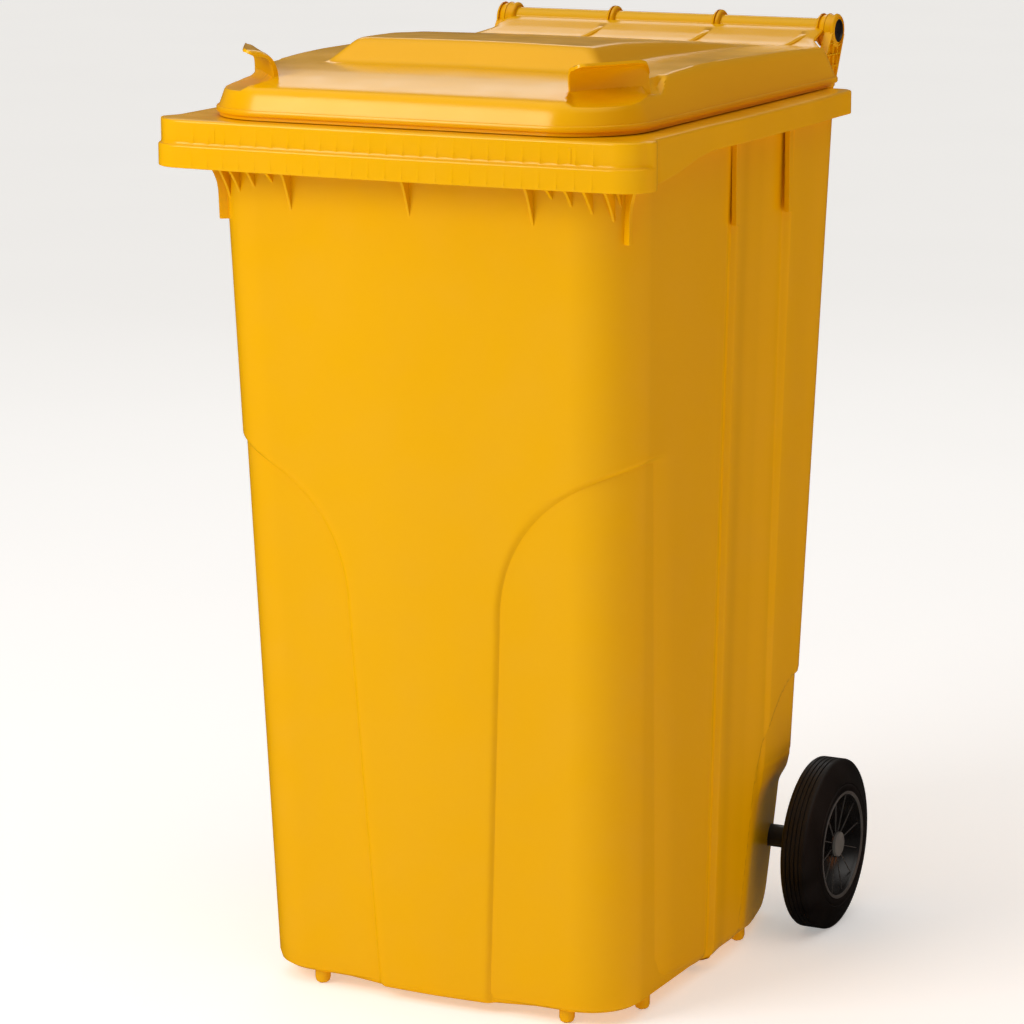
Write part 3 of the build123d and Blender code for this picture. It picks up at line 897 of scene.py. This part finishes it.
def level_rings(steps):
    """Rings of the lid's outline at given insets and heights."""
    rings = []
    for inset, z in steps:
        ring = lid_ring(inset)
        rings.append(np.column_stack([ring, np.full(len(ring), z)]))
    return rings


def build_lid():
    """The lid's shell: its bead and crown outside, and its lip and hollow inside."""
    shape = Shape()
    innermost = lid_half - 0.1
    bead = [(2.2, bead_bottom), (0.8, bead_bottom + 0.4), (0.1, bead_bottom + 1.6), (0, bead_bottom + 3)]
    bead += [(0.1, bead_top - 1.8), (0.7, bead_top - 0.6), (1.7, bead_top - 0.1)]
    outer = level_rings(bead)
    insets = [2.6, 3.0, 3.2, 3.6, 4.4, 5.4, 6.4, 7.6, 9, 10.4, 11.8, 13.2, 14.8, 16.6, 18.6, 21, 24, 27.5]
    for inset in insets + list(np.arange(31, 250, 3.6)) + [innermost]:
        ring = lid_ring(inset)
        outer.append(np.column_stack([ring, lid_height(ring[:, 0], ring[:, 1], inset)]))
    lip_z = rim_top + 0.8
    inner = level_rings([(3.2, bead_bottom), (3.4, lip_z), (9.2, lip_z), (9.5, bead_top - 3)])
    insets = [10.5, 12.5, 15, 18, 22, 28]
    for inset in insets + list(np.arange(36, 250, 9)) + [innermost]:
        ring = lid_ring(inset)
        outer_inset = max(inset - lid_skin * 0.6, bead_step)
        z = lid_height(ring[:, 0], ring[:, 1], outer_inset) - lid_skin
        inner.append(np.column_stack([ring, np.maximum(z, bead_top - 2.5)]))
    for rings in (outer, inner):
        shape.sheet(np.stack(rings), closed=True)
    shape.sheet(np.stack([outer[0], inner[0]]), closed=True)
    return shape


# A thumb tab's hollow face from its lip down into the pad, as (reach outwards, z)
tab_face = [
    (33.3, 1044.8), (31.5, 1043.9), (27, 1043), (20, 1042), (15, 1040.8), (11, 1039), (8, 1036.5),
    (5.6, 1033), (3.6, 1029), (2.2, 1025), (1.2, 1020), (1, 1015), (2.6, 1011), (6, 1007.5),
]
tab_half = 44

# How far a tab leans out, and how far its lip is cut down, from its front end (-1) to its rear end (1)
tab_lean = [
    (-1, 0.8), (-0.94, 0.94), (-0.8, 1), (-0.3, 0.84), (0.3, 0.62), (0.7, 0.46), (0.9, 0.32), (1, 0.14),
]
tab_cut = [(-1, 0.12), (-0.94, 0.04), (-0.85, 0), (0.7, 0), (0.84, 0.05), (0.93, 0.18), (1, 0.42)]


def build_tabs():
    """Thumb tabs: a hollow scoop that leans out over its pad, further at its front end than at its rear."""
    shape = Shape()
    line = np.array(tab_face)
    fine = np.linspace(0, len(line) - 1, 66)
    reach, z = (np.interp(fine, np.arange(len(line)), line[:, k]) for k in range(2))
    for _ in range(3):
        for values in (reach, z):
            values[1:-1] = (values[:-2] + 2 * values[1:-1] + values[2:]) / 4
    back = np.column_stack([np.gradient(z), -np.gradient(reach)])
    back /= np.hypot(back[:, 0], back[:, 1])[:, None]
    thick = along_line(fine, [(0, 3.2), (3, 3.8), (9, 4.6), (13, 6)])[:, None]
    share = np.linspace(-1, 1, 41)[None, :]
    up_share = np.clip((z - 1012) / 33, 0, 1)[:, None]
    lean, lower = along_line(share, tab_lean), along_line(share, tab_cut)
    flare = 20 * np.clip((1019 - z) / 10, 0, 1)[:, None] ** 2
    start, end = -tab_half - 5 * up_share - 0.6 * flare, tab_half - 3 * up_share
    for side in (1, -1):
        faces = []
        for layer in (0, 1):
            out = reach[:, None] * np.where(reach[:, None] > 0, lean, 1) + layer * back[:, :1] * thick
            up = z[:, None] - lower * np.clip(z[:, None] - 1018, 0, None) + layer * back[:, 1:] * thick
            along = lerp(start, end, (share + 1) / 2)
            x = tab_x + out * math.sin(tab_turn) + along * math.cos(tab_turn)
            depth = tab_depth - out * math.cos(tab_turn) + along * math.sin(tab_turn)
            faces.append(np.stack([side * x, depth, up], -1))
        shape.slab(*faces)
    return shape


# The flange's height and half width along the bin, as (depth, z) and (depth, x)
flange_rise = [
    (604, 1016.5), (628, 1017.5), (642, 1020.4), (660, 1025.6), (680, 1032.4), (690, 1034.8), (693, 1034.2),
]
flange_half = [
    (604, 233), (618, 230), (630, 226), (640, 221), (648, 215), (656, 209), (664, 205.3), (693, 205.3),
]
flange_thick = 3.6


def build_flange():
    """The lid's rear flange, which rises to the hinge tube, with rounded outer corners."""
    shape = Shape()
    depth = np.concatenate([np.linspace(604, 640, 10), np.linspace(644, 693, 16)])[:, None]
    share = np.linspace(-1, 1, 61)
    x = along_line(depth, flange_half) * share
    droop = 2.4 * np.clip((abs(share) - 0.94) / 0.06, 0, 1) ** 2
    top = np.stack([x, depth + 0 * x, along_line(depth, flange_rise) - droop], -1)
    shape.slab(top, top - (0, 0, flange_thick))
    return shape


def build_gussets():
    """Three raised J-shaped gussets on the flange."""
    shape = Shape()
    around = np.linspace(0, 2 * math.pi, 12, endpoint=False)
    for x in (-68.5, 68.5, 190):
        rings = []
        for share in np.linspace(0, 1, 14):
            depth = lerp(628, 676, share)
            z = along_line(depth, flange_rise)
            hook = 8 * (1 - share) ** 2
            tall = 2.6 * math.sin(math.pi * min(1, share * 1.1 + 0.12)) ** 0.6
            rings.append([(x - hook + 4.5 * math.cos(a), depth, z + tall * math.sin(a)) for a in around])
        body = np.array(rings)
        shape.sheet(body, closed=True)
        for end in (body[0], body[-1]):
            shape.sheet(np.stack([end, 0 * end + end.mean(0)]), closed=True)
    return shape


# ---- Hinge plugs, axle sleeves and wheels
def turned_shape(side, profile, centre, segments):
    shape = Shape()
    shape.turned(profile, side, centre, segments)
    return shape


def build_plug(side):
    """A plug in the tube's end, with a raised edge and a low middle."""
    profile = [(214.5, 0.01), (214.5, 13.3), (217.2, 13.3), (217.8, 12.8), (217.8, 11.6), (216.4, 11)]
    profile += [(216.1, 10), (216.1, 3), (216.5, 2.4), (216.5, 0.01)]
    return turned_shape(side, profile, (tube_depth, tube_z), 64)


def build_sleeve(side):
    """The spacer on the axle between the tub and a wheel."""
    profile = ring_profile(201, wheel_in + 0.6, 10.2, 14, 0.8, 0.8)
    return turned_shape(side, profile, (axle_depth, axle_z), 64)


wheel_middle = (wheel_in + wheel_out) / 2
web_low, web_high = in_mm("wheel_core_right")
core_r = (web_high[2] - web_low[2]) / 2
cap_low, cap_high = in_mm("hub_cap_right")


def wheel_part(side, profile, segments=144):
    """A turned part of a wheel, from (distance out from the wheel's middle, radius) points."""
    outline = [(wheel_middle + out, radius) for out, radius in profile]
    return turned_shape(side, outline, (axle_depth, axle_z), segments)


def build_tyre(side):
    """The tyre, with four grooves in its tread and a stepped outer wall."""
    inner = [(-23, core_r), (-23.6, 66), (-23.9, 69), (-22.5, 74), (-19.5, 84), (-16.4, 93), (-15.4, 96.5)]
    inner += [(-14.3, 98.6), (-12.6, 99.8), (-11, wheel_r)]
    groove = [(0, wheel_r), (0.3, 99.3), (0.7, 98.8), (1.1, 98.8), (1.5, 99.3), (1.8, wheel_r)]
    grooves = [(start + out, radius) for start in (-8.6, -3.4, 1.8, 7) for out, radius in groove]
    outer = [(12.6, wheel_r), (14.2, 99.5), (15.2, 98.4), (15.9, 96.6), (17.6, 91), (20, 83), (22, 76.4)]
    outer += [(22.6, 74.2), (22.9, 72.8), (22.3, 71.8), (22.4, 71), (23.2, 70.2), (23.6, 68.4), (23.7, 66.6)]
    outer += [(23.2, 65), (22.9, core_r)]
    return wheel_part(side, inner + grooves + outer)


def build_core(side):
    """The wheel's core: an edge for the tyre, a deep dish and a hub."""
    profile = [(-23, 57), (-23, core_r), (22.6, core_r), (23.5, 63.1), (23.8, 62.2), (23.8, 61), (23.3, 60)]
    profile += [(22, 59.3), (19, 58.7), (15, 57.6), (9, 55), (2, 50.5), (-3.5, 44), (-7.4, 37), (-9.4, 30)]
    profile += [(-9.6, 24), (-8.4, 20), (-6, 18), (-3, 17.4), (12, 16.4), (15, 16), (16, 15), (16, 10.1)]
    profile += [(-23.8, 10.1), (-23.8, 17), (-15, 17.5), (-14.5, 30), (-11, 47)]
    return wheel_part(side, profile)


def build_ring(side):
    """The grey ring at the wheel core's edge."""
    profile = [(22.4, 63.2), (23.6, 63.2), (23.95, 62.4), (24, 61), (23.6, 60), (22.6, 59.2), (21.5, 59.4)]
    return wheel_part(side, profile)


spoke_count, spoke_half = 12, 0.35
spoke_face = [(15.5, 15), (16.6, 30), (17.7, 45), (18.8, 59)]
spoke_back = [(out - 1.2, radius) for out, radius in spoke_face]


def build_spokes(side):
    """Thin ribs in the wheel's dish, from the hub to the edge."""
    shape = Shape()
    for turn in range(spoke_count):
        angle = 2 * math.pi * (turn + 0.35) / spoke_count
        along = np.array([math.cos(angle), math.sin(angle)])
        across = np.array([-along[1], along[0]])
        edges = []
        for line, shift in ((spoke_face, -1), (spoke_face, 1), (spoke_back, 1), (spoke_back, -1)):
            edge = []
            for out, radius in line:
                place = along * radius + across * shift * spoke_half + (axle_depth, axle_z)
                edge.append((side * (wheel_middle + out), place[0], place[1]))
            edges.append(edge)
        blade = np.array(edges).transpose(1, 0, 2)
        shape.sheet(blade, closed=True)
        for end in (blade[0], blade[-1]):
            shape.sheet(np.stack([end[:2], end[3:1:-1]]))
    return shape


def build_cap(side):
    near, far = cap_low[0] - 0.2 - wheel_middle, cap_high[0] - wheel_middle
    profile = [(near, 0.01), (near, 14.5), (far - 1.4, 14.5), (far - 0.7, 14.2), (far - 0.3, 13.5)]
    profile += [(far - 0.1, 10), (far, 0.01)]
    return wheel_part(side, profile, 64)


of_tub = ("container", tub_yellow, "tub_plastic")
of_lid = ("lid", lid_yellow, "lid_plastic")
make_piece("tub_shell", build_tub(), *of_tub, ["container"])
make_piece("tub_rim", build_rim(), *of_tub)
make_piece("tub_ribs", build_ribs(), *of_tub, bevel=0.7)
make_piece("tub_feet", build_feet(), *of_tub)
make_piece("hinge_brackets", build_brackets(), *of_tub, bevel=0.4, bevel_steps=1)
make_piece("hinge_eyes", build_tube_rings(0.05, 19.5, eye_spans), *of_tub)
make_piece("lid_shell", build_lid(), *of_lid, ["lid"])
make_piece("lid_thumb_tabs", build_tabs(), *of_lid, bevel=1.2, sharp=50)
make_piece("lid_flange", build_flange(), *of_lid, bevel=1.1)
make_piece("lid_gussets", build_gussets(), *of_lid)
make_piece("lid_knuckles", build_tube_rings(0.1, 19.4, knuckle_spans), *of_lid)
for side, end in ((1, "right"), (-1, "left")):
    plug, sleeve = f"hinge_plug_{end}", f"axle_sleeve_{end}"
    wheel = f"wheel_{end}"
    make_piece(f"tube_{plug}", build_plug(side), "container", black, "black_plastic", [plug])
    make_piece(f"spacer_{sleeve}", build_sleeve(side), "container", black, "black_plastic", [sleeve])
    make_piece(f"{wheel}_tyre", build_tyre(side), wheel, rubber, "tyre_rubber", [f"tyre_{end}"])
    make_piece(f"{wheel}_web", build_core(side), wheel, core_black, "wheel_plastic", [f"wheel_core_{end}"])
    make_piece(f"{wheel}_edge_ring", build_ring(side), wheel, grey_ring_and_spoke_highlight, "wheel_plastic")
    # The spokes are moulded black like the core; their grey is painted highlight for light catching their
    # edges.
    make_piece(f"{wheel}_spokes", build_spokes(side), wheel, grey_ring_and_spoke_highlight, "wheel_plastic")
    make_piece(f"{wheel}_cap", build_cap(side), wheel, cap_grey, "cap_plastic", [f"hub_cap_{end}"])

carried_over = {"handle_tube": tube_yellow, "axle": axle_metal}
carried_over.update({"wheel_catch_right": catch_metal, "wheel_catch_left": catch_metal})
for node, material in carried_over.items():
    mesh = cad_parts[node].data
    mesh.materials.clear()
    mesh.materials.append(material)


# ---- Floor, light and camera
def pale_floor():
    """A plain matt floor that is far wider than the view."""
    glow = {"Emission_Color": (1, 0.99, 0.97, 1), "Emission_Strength": 0.36}
    finish = Finish("floor_paint", (0.88, 0.88, 0.88), 0.75, **glow)
    finish.vary_gloss(finish.noise(1.5), 0.7, 0.8)
    mesh = bpy.data.meshes.new("floor")
    reach = 60
    corners = [(-reach, -reach, 0), (reach, -reach, 0), (reach, reach, 0), (-reach, reach, 0)]
    mesh.from_pydata(corners, [], [(0, 1, 2, 3)])
    mesh.materials.append(finish.material)
    floor = bpy.data.objects.new("floor", mesh)
    bpy.context.scene.collection.objects.link(floor)
    floor.visible_glossy = False


def softbox(name, place, aim, size, radiance, colour=(1, 1, 1)):
    """A rectangular light of a given brightness, turned towards a point."""
    data = bpy.data.lights.new(name, "AREA")
    data.shape = "RECTANGLE"
    data.size, data.size_y = size
    data.energy = radiance * size[0] * size[1] * math.pi
    data.color = colour
    light = bpy.data.objects.new(name, data)
    light.location = place
    light.rotation_euler = (Vector(aim) - Vector(place)).to_track_quat("-Z", "Y").to_euler()
    bpy.context.scene.collection.objects.link(light)


def studio_world():
    """A white dome that is brightest overhead and behind the bin, and dim on the camera's side."""
    world = bpy.data.worlds.new("studio")
    bpy.context.scene.world = world
    world.use_nodes = True
    nodes, links = world.node_tree.nodes, world.node_tree.links
    place = nodes.new("ShaderNodeTexCoord")
    axes = nodes.new("ShaderNodeSeparateXYZ")
    links.new(place.outputs["Generated"], axes.inputs[0])

    def ramp(axis, start, end, low, high):
        step = nodes.new("ShaderNodeMapRange")
        step.interpolation_type = "SMOOTHSTEP"
        for socket, value in (("From Min", start), ("From Max", end), ("To Min", low), ("To Max", high)):
            step.inputs[socket].default_value = value
        links.new(axes.outputs[axis], step.inputs["Value"])
        return step.outputs["Result"]

    def join(operation, first, second):
        step = nodes.new("ShaderNodeMath")
        step.operation = operation
        links.new(first, step.inputs[0])
        links.new(second, step.inputs[1])
        return step.outputs[0]

    behind = join("MULTIPLY", ramp("Y", 0.5, 0.95, 0, 0.05), ramp("X", 0.0, 0.14, 1, 0.3))
    behind = join("MULTIPLY", behind, ramp("Z", -0.05, 0.05, 1, 0.15))
    overhead = join("MULTIPLY", ramp("Z", 0.45, 0.95, 0, 1.25), ramp("Y", -0.1, 0.6, 1, 0.25))
    overhead = join("ADD", overhead, ramp("Z", -0.05, 0.1, 0.0, 0.08))
    links.new(join("ADD", behind, overhead), nodes["Background"].inputs["Strength"])
    nodes["Background"].inputs["Color"].default_value = (1, 0.97, 0.93, 1)


def photo_camera():
    """A long lens from the front right, a little above the lid."""
    yaw, pitch, roll = (math.radians(angle) for angle in (26.57, 12.09, -0.19))
    forward = Vector((-math.sin(yaw) * math.cos(pitch), math.cos(yaw) * math.cos(pitch), -math.sin(pitch)))
    level = Vector((math.cos(yaw), math.sin(yaw), 0))
    upright = level.cross(forward)
    right = math.cos(roll) * level + math.sin(roll) * upright
    up = -math.sin(roll) * level + math.cos(roll) * upright
    data = bpy.data.cameras.new("camera")
    data.sensor_width = 36
    data.lens = 135.46
    data.clip_end = 200
    camera = bpy.data.objects.new("camera", data)
    turn = Matrix((right, up, -forward)).transposed().to_4x4()
    camera.matrix_world = Matrix.Translation((1.8829, -3.473 + front * MM, 1.4215)) @ turn
    bpy.context.scene.collection.objects.link(camera)
    bpy.context.scene.camera = camera


pale_floor()
studio_world()
softbox("key", (-1.3, -2.45, 2.05), (0, -0.1, 0.8), (1.5, 1.2), 7.5)
softbox("back_left", (-1.6, 3.1, 2.75), (0, 0, 1.0), (2.2, 0.9), 1.6)
softbox("right", (3.1, 0.5, 1.1), (0.2, 0.05, 0.55), (1.6, 1.6), 1.0, (1, 0.3, 0.05))
photo_camera()
bpy.context.scene.view_settings.view_transform = "Standard"
